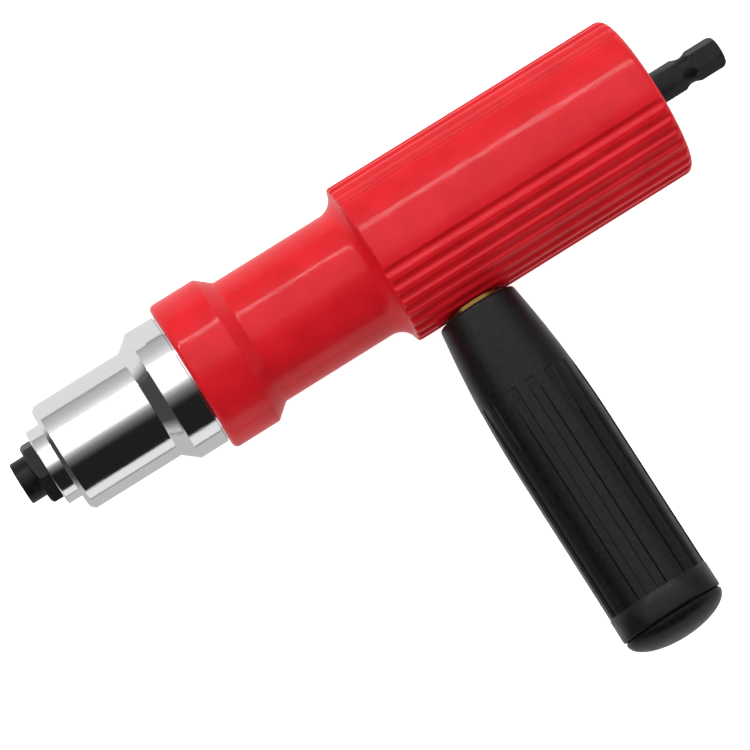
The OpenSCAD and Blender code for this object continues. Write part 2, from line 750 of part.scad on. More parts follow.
module handle_stud() color(plain_steel)
    along_handle() rotate_extrude() polygon(concat(
        [[0, stud_y], [thread_root(stud_r), stud_y]],
        thread_rings(stud_r, stud_y + thread_start, handle_y - 1),
        [[stud_r, handle_y - 1], [stud_r, handle_y + stud_end - stud_head_len],
         [stud_head_r, handle_y + stud_end - stud_head_len],
         [stud_head_r, handle_y + stud_end], [0, handle_y + stud_end]]));

module handle_grip() color(black_plastic) difference() {
    along_handle(handle_y) rotate_extrude() polygon(concat(
        [[0, 0]],
        arc(grip_top_r - grip_edge, grip_edge, grip_edge, -90, 0, 5),
        arc(grip_r - swell_r, grip_swell_len, swell_r, -asin((grip_swell_len - 3) / swell_r), 0, 15),
        [[grip_r, grip_len - band_len], [grip_r + band_rise, grip_len - band_len + band_rise],
         [grip_r + band_rise, grip_len - edge], [grip_r + band_rise - edge, grip_len], [0, grip_len]]));
    // slots between the ribs
    for (i = [0 : grip_ribs - 1])
        along_handle(handle_y) rotate([0, 0, rib_turn + 360 * (i + 0.5) / grip_ribs])
            translate([grip_r - rib_slot_depth, -rib_slot_w / 2, rib_start])
                cube([grip_r, rib_slot_w, grip_len - rib_start - band_len]);
    // seat of the moulded-in stud, hollow core and cap socket
    along_handle(handle_y - past) cylinder(r = stud_r + seat_gap, h = stud_end);
    along_handle(handle_y + stud_end - stud_head_len - seat_gap)
        cylinder(r = stud_head_r + seat_gap, h = stud_head_len + 2 * seat_gap);
    along_handle(y_grip_end - grip_core_len) cylinder(r = grip_core_r, h = grip_core_len + past);
    along_handle(y_grip_end - cap_socket_len) cylinder(r = cap_socket_r, h = cap_socket_len + past);
}

module handle_cap() color(black_plastic) along_handle(y_grip_end) rotate_extrude() polygon(concat(
    [[0, face_gap - cap_socket_len], [cap_socket_r - seat_gap, face_gap - cap_socket_len],
     [cap_socket_r - seat_gap, seat_gap], [grip_r - cap_edge, seat_gap],
     [cap_r, cap_edge]],
    // domed end as a quarter of an ellipse
    [for (i = [1 : 12]) [cap_r * cos(i * 7.5), cap_edge + (cap_len - cap_edge) * sin(i * 7.5)]]));

housing();
front_sleeve();
nosepiece();
guide_sleeve();
sleeve_pin();
thrust_washer_front();
bearing_outer_ring();
bearing_spacer();
rear_cover();
rear_bush();
rear_seal();
drive_spindle();
thrust_washer_rear();
bearing_inner_ring();
spindle_circlip();
thrust_cage();
thrust_balls();
bearing_cage();
bearing_balls();
pull_nut();
pull_tube();
jaw_case();
jaw_case_lock_nut();
guide_keys();
key_screws();
jaw_spring();
jaw_pusher();
jaw_1();
jaw_2();
jaw_3();
handle_washer();
handle_grip();
handle_stud();
handle_cap();
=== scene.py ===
import json
import math

import bmesh
import bpy
from mathutils import Matrix, Vector


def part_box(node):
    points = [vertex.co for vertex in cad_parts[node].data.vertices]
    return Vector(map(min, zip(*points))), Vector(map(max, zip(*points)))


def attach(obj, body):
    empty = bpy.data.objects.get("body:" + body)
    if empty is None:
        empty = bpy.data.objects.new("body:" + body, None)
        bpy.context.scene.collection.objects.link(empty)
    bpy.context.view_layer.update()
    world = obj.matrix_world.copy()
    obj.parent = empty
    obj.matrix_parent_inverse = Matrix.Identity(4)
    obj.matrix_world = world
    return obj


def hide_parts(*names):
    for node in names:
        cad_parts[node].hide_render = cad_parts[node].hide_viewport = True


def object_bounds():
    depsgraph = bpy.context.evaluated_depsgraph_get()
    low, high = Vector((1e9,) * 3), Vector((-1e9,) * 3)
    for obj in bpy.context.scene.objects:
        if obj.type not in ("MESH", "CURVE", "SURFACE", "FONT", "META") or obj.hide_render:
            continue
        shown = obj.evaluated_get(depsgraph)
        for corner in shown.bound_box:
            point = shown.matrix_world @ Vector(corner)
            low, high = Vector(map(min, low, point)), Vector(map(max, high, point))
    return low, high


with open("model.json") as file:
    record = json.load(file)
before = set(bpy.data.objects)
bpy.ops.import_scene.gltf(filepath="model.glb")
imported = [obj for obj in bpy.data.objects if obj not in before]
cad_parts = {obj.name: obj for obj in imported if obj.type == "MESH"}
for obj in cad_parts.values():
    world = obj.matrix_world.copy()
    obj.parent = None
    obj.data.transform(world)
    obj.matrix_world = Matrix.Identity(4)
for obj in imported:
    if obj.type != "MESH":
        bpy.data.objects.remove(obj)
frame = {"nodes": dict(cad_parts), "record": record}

nodes = frame["nodes"]
cadBox = [list(corner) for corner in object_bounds()]
print("frame loaded:", len(nodes), "nodes")


# Sizes are in millimetres and become metres only where a mesh is made.
def mm(value):
    return value / 1000


def low(node):  # lowest corner of a CAD node, in millimetres
    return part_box(node)[0] * 1000


def high(node):
    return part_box(node)[1] * 1000


# Places that several pieces share, read from the frame
tool = dict(
    nose=low("nosepiece").x,
    ringFront=low("front_sleeve").x,
    collarFront=low("housing").x,
    tail=high("housing").x,
    tip=high("drive_spindle").x,
    barrelRadius=high("housing").z,
    coverEnd=high("rear_cover").x,
)
handle = dict(
    axis=(low("handle_washer").x + high("handle_washer").x) / 2,
    top=-high("handle_grip").y,
    gripEnd=-low("handle_grip").y,
    capTip=-low("handle_cap").y,
)


# Corners are (along, radius, edge radius); the result has an arc at each corner that has one.
def roundedOutline(corners, closed=True, steps=6):
    mostOfSide = 0.49  # an arc takes less than half of each side that it joins
    outline = []
    for i, (along, radius, edge) in enumerate(corners):
        here = Vector((along, radius))
        before = Vector(corners[i - 1][:2])
        after = Vector(corners[(i + 1) % len(corners)][:2])
        atEnd = not closed and i in (0, len(corners) - 1)
        if edge == 0 or atEnd:
            outline.append((along, radius))
            continue
        back = (before - here).normalized()
        on = (after - here).normalized()
        half = back.angle(on) / 2
        reach = min(edge / math.tan(half), mostOfSide * (before - here).length,
                    mostOfSide * (after - here).length)
        start = here + back * reach
        centre = here + (back + on).normalized() * (reach / math.cos(half))
        spoke = start - centre
        sweep = math.pi - 2 * half
        if back.x * on.y - back.y * on.x > 0:
            sweep = -sweep
        for step in range(steps + 1):
            turn = sweep * step / steps
            spin = Vector((spoke.x * math.cos(turn) - spoke.y * math.sin(turn),
                           spoke.x * math.sin(turn) + spoke.y * math.cos(turn)))
            outline.append(tuple(centre + spin))
    return outline


# 0 degrees stands outwards from the line, and 90 degrees along it.
def arcPoints(along, radius, size, start, end, steps):
    turns = [math.radians(start + (end - start) * i / steps) for i in range(steps + 1)]
    return [(along + size * math.sin(turn), radius + size * math.cos(turn)) for turn in turns]


def evenly(first, last, count):
    return [first + (last - first) * i / (count - 1) for i in range(count)]


# Closed lathe work from (along, radius) points. "tool" turns about X, "handle" about the side
# handle's own line. limit(angle, along) gives the most that the radius may be there, for flats.
def turnedPiece(name, outline, turns, line="tool", limit=None, sharp=25):
    onLine = 1e-6  # a radius under this is a single point on the line
    bm = bmesh.new()
    rings = []
    for along, radius in outline:
        count = turns if radius > onLine else 1
        ring = []
        for i in range(count):
            angle = 2 * math.pi * i / turns
            reach = radius
            if limit and radius > onLine:
                reach = min(radius, limit(angle, along))
            across = reach * math.cos(angle)
            up = reach * math.sin(angle)
            if line == "tool":
                place = (along, across, up)
            else:
                place = (handle["axis"] + across, -along, up)
            ring.append(bm.verts.new([mm(value) for value in place]))
        rings.append(ring)
    loops = len(rings) if outline[0][1] > onLine else len(rings) - 1
    for r in range(loops):
        first = rings[r]
        second = rings[(r + 1) % len(rings)]
        for i in range(turns):
            j = (i + 1) % turns
            corners = [first[i % len(first)], first[j % len(first)],
                       second[j % len(second)], second[i % len(second)]]
            corners = [v for k, v in enumerate(corners) if v not in corners[:k]]
            if len(corners) > 2:
                bm.faces.new(corners)
    bmesh.ops.remove_doubles(bm, verts=bm.verts, dist=mm(0.0001))
    return finishMesh(name, bm, sharp)


# Normals point outwards, and edges that turn more than `sharp` degrees stay crisp.
def finishMesh(name, bm, sharp=25):
    bmesh.ops.recalc_face_normals(bm, faces=bm.faces)
    for face in bm.faces:
        face.smooth = True
    for edge in bm.edges:
        edge.smooth = len(edge.link_faces) == 2 and edge.calc_face_angle() < math.radians(sharp)
    mesh = bpy.data.meshes.new(name)
    bm.to_mesh(mesh)
    bm.free()
    piece = bpy.data.objects.new(name, mesh)
    bpy.context.scene.collection.objects.link(piece)
    return piece


# A modifier's result becomes the piece's own plain mesh.
def settle(piece):
    bpy.context.view_layer.update()
    shaped = piece.evaluated_get(bpy.context.evaluated_depsgraph_get())
    mesh = bpy.data.meshes.new_from_object(shaped)
    piece.modifiers.clear()
    piece.data = mesh
    mesh.name = piece.name
    return piece


# Edges of a settled mesh that turn more than `sharp` degrees are made crisp again.
def crispEdges(piece, sharp):
    bm = bmesh.new()
    bm.from_mesh(piece.data)
    for edge in bm.edges:
        edge.smooth = len(edge.link_faces) == 2 and edge.calc_face_angle() < math.radians(sharp)
    for face in bm.faces:
        face.smooth = True
    bm.to_mesh(piece.data)
    bm.free()


def addNode(tree, kind, inputs=(), **settings):
    node = tree.nodes.new(kind)
    for name, value in settings.items():
        setattr(node, name, value)
    for socket, value in dict(inputs).items():
        if isinstance(value, bpy.types.NodeSocket):
            tree.links.new(value, node.inputs[socket])
        else:
            node.inputs[socket].default_value = value
    return node


# sRGB hex to the linear colour that Blender's sockets take
def linear(hexColour):
    channels = [int(hexColour[i:i + 2], 16) / 255 for i in (1, 3, 5)]
    lit = [c / 12.92 if c <= 0.04045 else ((c + 0.055) / 1.055) ** 2.4 for c in channels]
    return (*lit, 1)


# Each row is (name, operation, inputs...); an input is a number or an earlier row's name.
def addFormula(tree, known, rows):
    for name, operation, *terms in rows:
        inputs = {i: known[term] if isinstance(term, str) else term for i, term in enumerate(terms)}
        known[name] = addNode(tree, "ShaderNodeMath", inputs, operation=operation).outputs[0]
    return known


# A geometry tree with named inputs. Returns the tree and its input sockets by name.
def newGeometryTree(name, sizes):
    tree = bpy.data.node_groups.new(name, "GeometryNodeTree")
    tree.interface.new_socket("Geometry", in_out="INPUT", socket_type="NodeSocketGeometry")
    for label in sizes:
        tree.interface.new_socket(label, in_out="INPUT", socket_type="NodeSocketFloat")
    tree.interface.new_socket("Geometry", in_out="OUTPUT", socket_type="NodeSocketGeometry")
    given = addNode(tree, "NodeGroupInput").outputs
    return tree, {socket.name: socket for socket in given}


def closeGeometryTree(tree, geometry, material):
    real = addNode(tree, "GeometryNodeRealizeInstances", {0: geometry})
    painted = addNode(tree, "GeometryNodeSetMaterial", {0: real.outputs[0], "Material": material})
    addNode(tree, "NodeGroupOutput", {0: painted.outputs[0]})


def applyTree(piece, tree, sizes):
    modifier = piece.modifiers.new(tree.name, "NODES")
    modifier.node_group = tree
    for socket in tree.interface.items_tree:
        if socket.in_out == "INPUT" and socket.name in sizes:
            modifier[socket.identifier] = sizes[socket.name]
    return settle(piece)


def newFinish(name, colour, roughness, metallic=0.0, specular=0.5, **more):
    material = bpy.data.materials.new(name)
    material.use_nodes = True
    tree = material.node_tree
    tree.nodes.clear()
    shader = addNode(tree, "ShaderNodeBsdfPrincipled", {
        "Base Color": linear(colour), "Roughness": roughness, "Metallic": metallic,
        "Specular IOR Level": specular, **more})
    addNode(tree, "ShaderNodeOutputMaterial", {"Surface": shader.outputs[0]})
    spot = addNode(tree, "ShaderNodeTexCoord").outputs["Object"]
    return material, tree, shader, spot


# Grain of `size` mm that stands `height` mm proud, on top of whatever bump is already there
def addGrain(tree, shader, spot, size, height, detail=2.0, sockets=("Normal",), under=None):
    noise = addNode(tree, "ShaderNodeTexNoise", {
        "Vector": spot, "Scale": 1 / mm(size), "Detail": detail, "Roughness": 0.55})
    inputs = {"Height": noise.outputs["Fac"], "Distance": mm(height), "Strength": 1.0}
    if under:
        inputs["Normal"] = under
    bump = addNode(tree, "ShaderNodeBump", inputs)
    for socket in sockets:
        tree.links.new(bump.outputs[0], shader.inputs[socket])
    return bump.outputs[0]


# The base colour wanders between two tones over patches of `size` mm.
def addTones(tree, shader, spot, size, dark, light, stretch=(1, 1, 1)):
    placed = addNode(tree, "ShaderNodeMapping", {"Vector": spot, "Scale": stretch})
    noise = addNode(tree, "ShaderNodeTexNoise", {
        "Vector": placed.outputs[0], "Scale": 1 / mm(size), "Detail": 3.0})
    ramp = addNode(tree, "ShaderNodeValToRGB", {"Fac": noise.outputs["Fac"]})
    # plain noise stays near the middle of its range, so the tones sit close to it too
    for element, place, tone in zip(ramp.color_ramp.elements, (0.35, 0.65), (dark, light)):
        element.position = place
        element.color = linear(tone)
    tree.links.new(ramp.outputs[0], shader.inputs["Base Color"])


# Roughness wanders between two values over patches of `size` mm, stretched along some axes.
def addWear(tree, shader, spot, size, smooth, rough, stretch=(1, 1, 1)):
    placed = addNode(tree, "ShaderNodeMapping", {"Vector": spot, "Scale": stretch})
    noise = addNode(tree, "ShaderNodeTexNoise", {
        "Vector": placed.outputs[0], "Scale": 1 / mm(size), "Detail": 4.0})
    spread = addNode(tree, "ShaderNodeMapRange", {
        "Value": noise.outputs["Fac"], "From Min": 0.3, "From Max": 0.7,
        "To Min": smooth, "To Max": rough})
    tree.links.new(spread.outputs[0], shader.inputs["Roughness"])


# Gloss enamel sprayed on cast aluminium and baked: strong red under a wet-looking skin, with
# orange peel that breaks a lamp's reflection into a jagged, sparkling line.
def glossEnamel():
    look = dict(red="#D21823", deep="#C6131D", peel=2.2, peelHeight=0.03, ripple=0.8, rippleHeight=0.045)
    material, tree, shader, spot = newFinish(
        "gloss red enamel", look["red"], 0.42, specular=0.08,
        **{"Coat Weight": 0.32, "Coat Roughness": 0.04, "Coat IOR": 1.5})
    addTones(tree, shader, spot, 9, look["deep"], look["red"])
    peel = addGrain(tree, shader, spot, look["peel"], look["peelHeight"], sockets=())
    addGrain(tree, shader, spot, look["ripple"], look["rippleHeight"],
             sockets=("Normal", "Coat Normal"), under=peel)
    return material


# Bright chromium plate over turned steel: a mirror with faint turning waves, so that dark
# and bright bands run along it and their borders are speckled.
def brightChrome():
    look = dict(plate="#E8E9EA", wave=0.6, waveHeight=0.009)
    material, tree, shader, spot = newFinish("bright chrome plate", look["plate"], 0.09, 1.0)
    addWear(tree, shader, spot, 2.5, 0.06, 0.13, (0.25, 1, 1))
    addGrain(tree, shader, spot, look["wave"], look["waveHeight"])
    return material


# Steel blackened in hot oxide salts and oiled: nearly black with a soft satin sheen.
def blackOxide():
    look = dict(black="#101011", worn="#161617", grain=0.35, grainHeight=0.004)
    material, tree, shader, spot = newFinish(
        "oiled black oxide steel", look["black"], 0.36, specular=0.18)
    addTones(tree, shader, spot, 2.2, look["black"], look["worn"])
    addWear(tree, shader, spot, 1.5, 0.3, 0.44)
    addGrain(tree, shader, spot, look["grain"], look["grainHeight"])
    return material


# Glass-filled nylon moulded in a spark-eroded tool: black with a fine grain that greys
# wherever light falls on it.
def mouldedNylon():
    look = dict(black="#0B0B0C", faded="#141416", grain=0.45, grainHeight=0.006)
    material, tree, shader, spot = newFinish("moulded black nylon", look["black"], 0.4, specular=0.2)
    addTones(tree, shader, spot, 1.2, look["black"], look["faded"])
    addWear(tree, shader, spot, 3.0, 0.3, 0.4)
    addGrain(tree, shader, spot, look["grain"], look["grainHeight"], detail=3.0)
    return material


# Zinc plate with a yellow chromate dip: a dull brass tint, paler in patches
def yellowZinc():
    look = dict(yellow="#7E5F2C", bloom="#8F7240", grain=0.3, grainHeight=0.002)
    material, tree, shader, spot = newFinish("yellow passivated zinc", look["yellow"], 0.28, 1.0)
    addTones(tree, shader, spot, 2.0, look["yellow"], look["bloom"])
    addGrain(tree, shader, spot, look["grain"], look["grainHeight"])
    return material


# Metal as the lathe leaves it: grey with fine rings round the tool's line. The rings are
# drawn 0.3 mm apart, about three times too coarse, so that they show.
def turnedMetal(name, light, dark, roughness, pitch=0.3, pitchHeight=0.002):
    material, tree, shader, spot = newFinish(name, light, roughness, 1.0)
    addTones(tree, shader, spot, 4.0, dark, light, (0.5, 1, 1))
    bandScale = 2 * math.pi / 20  # a wave texture at scale 1 has 20 radians to the metre
    rings = addNode(tree, "ShaderNodeTexWave", {
        "Vector": spot, "Scale": bandScale / mm(pitch), "Distortion": 0.6, "Detail": 1.0},
        wave_type="BANDS", bands_direction="X")
    bump = addNode(tree, "ShaderNodeBump", {
        "Height": rings.outputs["Fac"], "Distance": mm(pitchHeight), "Strength": 1.0})
    tree.links.new(bump.outputs[0], shader.inputs["Normal"])
    return material


# Ground or hardened steel: even, close-grained, with a soft bloom rather than turning rings
def groundMetal(name, light, dark, smooth, rough, grain=0.25, grainHeight=0.0015):
    material, tree, shader, spot = newFinish(name, light, smooth, 1.0)
    addTones(tree, shader, spot, 3.0, dark, light)
    addWear(tree, shader, spot, 1.6, smooth, rough)
    addGrain(tree, shader, spot, grain, grainHeight)
    return material


# Nitrile rubber, moulded: dull black that hardly mirrors anything
def nitrileRubber():
    look = dict(black="#121212", faded="#1D1D1D", grain=0.5, grainHeight=0.006)
    material, tree, shader, spot = newFinish("moulded nitrile rubber", look["black"], 0.62)
    addTones(tree, shader, spot, 1.5, look["black"], look["faded"])
    addGrain(tree, shader, spot, look["grain"], look["grainHeight"])
    return material


finishes = dict(
    red_paint=glossEnamel(),
    chrome=brightChrome(),
    black_oxide=blackOxide(),
    black_plastic=mouldedNylon(),
    zinc_plate=yellowZinc(),
    plain_steel=turnedMetal("turned carbon steel", "#B9BBBE", "#A5A7AA", 0.3),
    tool_steel=groundMetal("hardened tool steel", "#83858A", "#6B6D72", 0.32, 0.42),
    bearing_steel=groundMetal("ground bearing steel", "#CDD0D4", "#BCBFC4", 0.12, 0.2),
    bronze=turnedMetal("turned bearing bronze", "#C79A55", "#B0853F", 0.32),
    black_rubber=nitrileRubber(),
)

# Every CAD node wears the finish of its slot in the record.
slotOfNode = {row["node"]: row["material_slot"] for row in frame["record"]["subparts"]}
bodyOfNode = {node: body for body, members in frame["record"]["behaviour"]["bodies"].items()
              for node in members}
for name, node in nodes.items():
    node.data.materials.clear()
    node.data.materials.append(finishes[slotOfNode[name]])
print("finishes ready:", len(finishes))


# The piece stands for a CAD node: it takes the node's body and the finish of the node's slot.
def standFor(piece, node):
    slotName = slotOfNode[node]
    piece.data.materials.clear()
    piece.data.materials.append(finishes[slotName])
    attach(piece, bodyOfNode[node])
    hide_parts(node)


# The housing is one turned skin; a geometry tree then cuts its flutes and the handle's seat.
housing = dict(
    collarRadius=21.8, collarLength=13.8, collarEdge=1.5,
    taperLength=4.2, neckRadius=18.3, neckLength=32.8,
    shoulderRadius=5.3, barrelEdge=0.8, tailEdge=2.6,
    fluteStep=10, fluteRows=6, fluteCut=1.5, fluteDepth=0.8, fluteSoftness=0.35,
    landTurn=12, seatRadius=8.5, seatDepth=0.7, seatMargin=0.4, seatRings=45,
    taperEdge=0.9, neckEdge=1.2, turns=720,
    # the bore, from the tail forwards
    coverBore=19.03, coverDepth=13.2, bearingBore=17.53, thrustBore=15.01, guideBore=14.53,
    sleeveGap=0.5, sleeveStep=1.97,
)


def housingOutline():
    h = housing
    barrel = tool["barrelRadius"]
    front, tail = tool["collarFront"], tool["tail"]
    taper = front + h["collarLength"]
    neck = taper + h["taperLength"]
    shoulder = neck + h["neckLength"]
    face = shoulder + h["shoulderRadius"]
    socket = high("front_sleeve").x + h["sleeveGap"]
    sleeveBore = high("front_sleeve").z - h["sleeveStep"]
    guide = low("guide_sleeve").x
    seat = low("thrust_washer_front").x
    coverSeat = tail - h["coverDepth"]
    skin = roundedOutline([
        (front, sleeveBore, 0), (front, h["collarRadius"], h["collarEdge"]),
        (taper, h["collarRadius"], h["taperEdge"]), (neck, h["neckRadius"], h["neckEdge"]),
        (shoulder, h["neckRadius"], 0)], closed=False)
    filletLine = h["neckRadius"] + h["shoulderRadius"]
    filletTurn = math.degrees(math.acos((filletLine - barrel + h["barrelEdge"]) / h["shoulderRadius"]))
    skin += arcPoints(shoulder, filletLine, h["shoulderRadius"], 180, 180 - filletTurn, 14)
    skin += arcPoints(face + h["barrelEdge"], barrel - h["barrelEdge"], h["barrelEdge"], -90, 0, 6)
    # closer rings where the handle's seat is cut
    seatReach = h["seatRadius"] + h["seatMargin"]
    skin += [(along, barrel) for along in
             evenly(handle["axis"] - seatReach, handle["axis"] + seatReach, h["seatRings"])]
    skin += arcPoints(tail - h["tailEdge"], barrel - h["tailEdge"], h["tailEdge"], 0, 90, 12)
    bores = [
        (tail, h["coverBore"]), (coverSeat, h["coverBore"]), (coverSeat, h["bearingBore"]),
        (seat, h["bearingBore"]), (seat, h["thrustBore"]), (guide, h["thrustBore"]),
        (guide, h["guideBore"]), (socket, h["guideBore"]), (socket, sleeveBore)]
    return skin + bores


# Each flute is a round cutter that runs along the barrel; a point moves in to the cutter's face
# where that is nearer to the tool's line than the skin is.
def fluteTree(material):
    tree, given = newGeometryTree("barrelFlutes", [
        "land turn", "flute step", "flute rows", "cutter radius", "cutter line", "softness",
        "seat x", "seat radius", "seat face"])
    position = addNode(tree, "GeometryNodeInputPosition").outputs[0]
    split = addNode(tree, "ShaderNodeSeparateXYZ", {0: position})
    known = dict(given, x=split.outputs[0], y=split.outputs[1], z=split.outputs[2])
    addFormula(tree, known, [
        # the flutes stand evenly about a line that is turned from the handle's
        ("turnCosine", "COSINE", "land turn"),
        ("turnSine", "SINE", "land turn"),
        ("yKept", "MULTIPLY", "y", "turnCosine"),
        ("zTaken", "MULTIPLY", "z", "turnSine"),
        ("yFromLand", "SUBTRACT", "yKept", "zTaken"),
        ("zKept", "MULTIPLY", "z", "turnCosine"),
        ("yTaken", "MULTIPLY", "y", "turnSine"),
        ("zFromLand", "ADD", "zKept", "yTaken"),
        ("side", "ABSOLUTE", "yFromLand"),
        ("turn", "ARCTAN2", "zFromLand", "side"),
        ("steps", "DIVIDE", "turn", "flute step"),
        ("nearest", "ROUND", "steps"),
        ("fewest", "MINIMUM", "nearest", "flute rows"),
        ("lowest", "MULTIPLY", "flute rows", -1.0),
        ("row", "MAXIMUM", "fewest", "lowest"),
        ("rowTurn", "MULTIPLY", "row", "flute step"),
        ("off", "SUBTRACT", "turn", "rowTurn"),
        ("offSize", "ABSOLUTE", "off"),
        ("ratio", "DIVIDE", "cutter radius", "cutter line"),
        ("widest", "ARCSINE", "ratio"),
        ("inside", "MINIMUM", "offSize", "widest"),
        ("sine", "SINE", "inside"),
        ("cosine", "COSINE", "inside"),
        ("across", "MULTIPLY", "sine", "cutter line"),
        ("acrossSquare", "MULTIPLY", "across", "across"),
        ("cutSquare", "MULTIPLY", "cutter radius", "cutter radius"),
        ("left", "SUBTRACT", "cutSquare", "acrossSquare"),
        ("real", "MAXIMUM", "left", 0.0),
        ("depth", "SQRT", "real"),
        ("out", "MULTIPLY", "cutter line", "cosine"),
        ("face", "SUBTRACT", "out", "depth"),
        ("ySquare", "MULTIPLY", "y", "y"),
        ("zSquare", "MULTIPLY", "z", "z"),
        ("radiusSquare", "ADD", "ySquare", "zSquare"),
        ("radius", "SQRT", "radiusSquare"),
        ("cut", "SMOOTH_MIN", "radius", "face", "softness"),
        ("shrink", "DIVIDE", "cut", "radius"),
        ("newY", "MULTIPLY", "y", "shrink"),
        ("newZ", "MULTIPLY", "z", "shrink"),
        # flat seat for the handle's washer
        ("alongSeat", "SUBTRACT", "x", "seat x"),
        ("alongSquare", "MULTIPLY", "alongSeat", "alongSeat"),
        ("newZSquare", "MULTIPLY", "newZ", "newZ"),
        ("seatSquare", "ADD", "alongSquare", "newZSquare"),
        ("seatDistance", "SQRT", "seatSquare"),
        ("onSeat", "LESS_THAN", "seatDistance", "seat radius"),
        ("flatY", "MAXIMUM", "newY", "seat face"),
        ("rise", "SUBTRACT", "flatY", "newY"),
        ("change", "MULTIPLY", "rise", "onSeat"),
        ("lastY", "ADD", "newY", "change"),
    ])
    place = addNode(tree, "ShaderNodeCombineXYZ", {0: known["x"], 1: known["lastY"], 2: known["newZ"]})
    moved = addNode(tree, "GeometryNodeSetPosition", {0: known["Geometry"], "Position": place.outputs[0]})
    closeGeometryTree(tree, moved.outputs[0], material)
    return tree


def makeHousing():
    h = housing
    barrel = tool["barrelRadius"]
    piece = turnedPiece("ribbedHousing", housingOutline(), h["turns"])
    applyTree(piece, fluteTree(finishes["red_paint"]), {
        "land turn": math.radians(h["landTurn"]),
        "flute step": math.radians(h["fluteStep"]),
        "flute rows": float(h["fluteRows"]),
        "cutter radius": mm(h["fluteCut"]),
        "cutter line": mm(barrel - h["fluteDepth"] + h["fluteCut"]),
        "softness": mm(h["fluteSoftness"]),
        "seat x": mm(handle["axis"]),
        "seat radius": mm(h["seatRadius"]),
        "seat face": -mm(barrel - h["seatDepth"]),
    })
    crispEdges(piece, 40)
    standFor(piece, "housing")


sleeve = dict(
    ringRadius=11, ringLength=4.3, radius=15.75, length=27.4, chamfer=1.2,
    flareLength=3.7, flangeRadius=19.15, flatLength=3.7, flatWidth=36, flatTurn=33,
    reliefLength=0.45, reliefDepth=0.7, threadRadius=17.1, edge=0.35, flareRings=11,
    bore=6.03, pocketRadius=12.75, pocketStart=9, turns=540,
)


def makeSleeve():
    s = sleeve
    ring = tool["ringFront"]
    body = ring + s["ringLength"]
    flare = body + s["length"]
    flange = flare + s["flareLength"]
    flatEnd = flange + s["flatLength"]
    collar = tool["collarFront"]
    relief = s["flangeRadius"] - s["reliefDepth"]
    end = high("front_sleeve").x
    pocket = ring + s["pocketStart"]
    corners = [
        (ring, s["bore"], 0.2), (ring, s["ringRadius"], 0.5), (body, s["ringRadius"], 0.15),
        (body, s["radius"] - s["chamfer"], 0.25), (body + s["chamfer"], s["radius"], 0.3),
        (flare, s["radius"], 0.4)]
    flatStep = 0.01  # length in which the flats end
    # the flats also bite into the flare, so it has closer rings
    places = evenly(flare, flange, s["flareRings"])
    radii = evenly(s["radius"], s["flangeRadius"] - s["edge"], s["flareRings"])
    corners += [(along, radius, 0) for along, radius in zip(places, radii)][1:-1]
    corners += [
        (flange, s["flangeRadius"] - s["edge"], 0), (flange + s["edge"], s["flangeRadius"], 0),
        (flatEnd, s["flangeRadius"], 0), (flatEnd + flatStep, s["flangeRadius"], 0),
        (collar - s["reliefLength"], s["flangeRadius"], 0.2), (collar - s["reliefLength"], relief, 0),
        (collar, relief, 0), (collar, s["threadRadius"], 0), (end, s["threadRadius"], 0.4),
        (end, s["pocketRadius"], 0.2), (pocket, s["pocketRadius"], 0), (pocket, s["bore"], 0)]
    turn = math.radians(s["flatTurn"])

    def flats(angle, along):
        facing = abs(math.cos(angle - turn))
        if along > flatEnd + flatStep / 2 or facing < 0.1:
            return math.inf
        return s["flatWidth"] / 2 / facing

    piece = turnedPiece("chromeSleeve", roundedOutline(corners), s["turns"], limit=flats, sharp=13)
    standFor(piece, "front_sleeve")


# Greatest radius inside a hexagon of that width across flats
def hexLimit(width, firstCorner, start, end):
    def limit(angle, along):
        if not start <= along <= end:
            return math.inf
        turn = (angle - firstCorner) % (math.pi / 3) - math.pi / 6
        return width / 2 / math.cos(turn)
    return limit


def threadRoot(radius, pitch):
    return radius - 0.6 * pitch


# Corners of a row of plain thread crests between two places
def threadCorners(radius, pitch, start, end):
    root = threadRoot(radius, pitch)
    crests = int((end - start) / pitch)
    corners = []
    for i in range(crests):
        at = start + i * pitch
        corners += [(at, root, 0), (at + 0.4 * pitch, radius, 0), (at + 0.6 * pitch, radius, 0)]
    return corners + [(start + crests * pitch, root, 0), (end, root, 0)]


nosepiece = dict(
    bore=1.65, countersink=0.5, bossRadius=6, bossLength=4.5, hexWidth=16, hexLength=3.5, hexTurn=48,
    threadRadius=5.95, threadPitch=1.5, threadReach=8.5, spoutRadius=3.3,
    faceInset=0.2, chamferTurn=30, chamferRings=7, turns=360,
)


def makeNosepiece():
    n = nosepiece
    nose = tool["nose"]
    hexFront = nose + n["bossLength"]
    hexBack = hexFront + n["hexLength"]
    corner = n["hexWidth"] / 2 / math.cos(math.pi / 6) + 0.1  # just past the hexagon's corners
    face = n["hexWidth"] / 2 - n["faceInset"]
    chamfer = (corner - face) * math.tan(math.radians(n["chamferTurn"]))
    end = high("nosepiece").x
    threadEnd = tool["ringFront"] + n["threadReach"]
    corners = [
        (nose + n["countersink"], n["bore"], 0), (nose, n["bore"] + n["countersink"], 0.15),
        (nose, n["bossRadius"], 0.5), (hexFront, n["bossRadius"], 0.25), (hexFront, face, 0)]
    places = evenly(hexFront, hexFront + chamfer, n["chamferRings"])
    radii = evenly(face, corner, n["chamferRings"])
    corners += [(along, radius, 0) for along, radius in zip(places, radii)][1:]
    corners += [(hexBack, corner, 0)]
    corners += threadCorners(n["threadRadius"], n["threadPitch"], hexBack + 0.01, threadEnd)
    corners += [(threadEnd, n["spoutRadius"], 0), (end, n["spoutRadius"], 0.4), (end, n["bore"], 0)]
    limit = hexLimit(n["hexWidth"], math.radians(n["hexTurn"]), hexFront, hexBack)
    piece = turnedPiece("nosepieceHex", roundedOutline(corners), n["turns"], limit=limit, sharp=20)
    standFor(piece, "nosepiece")


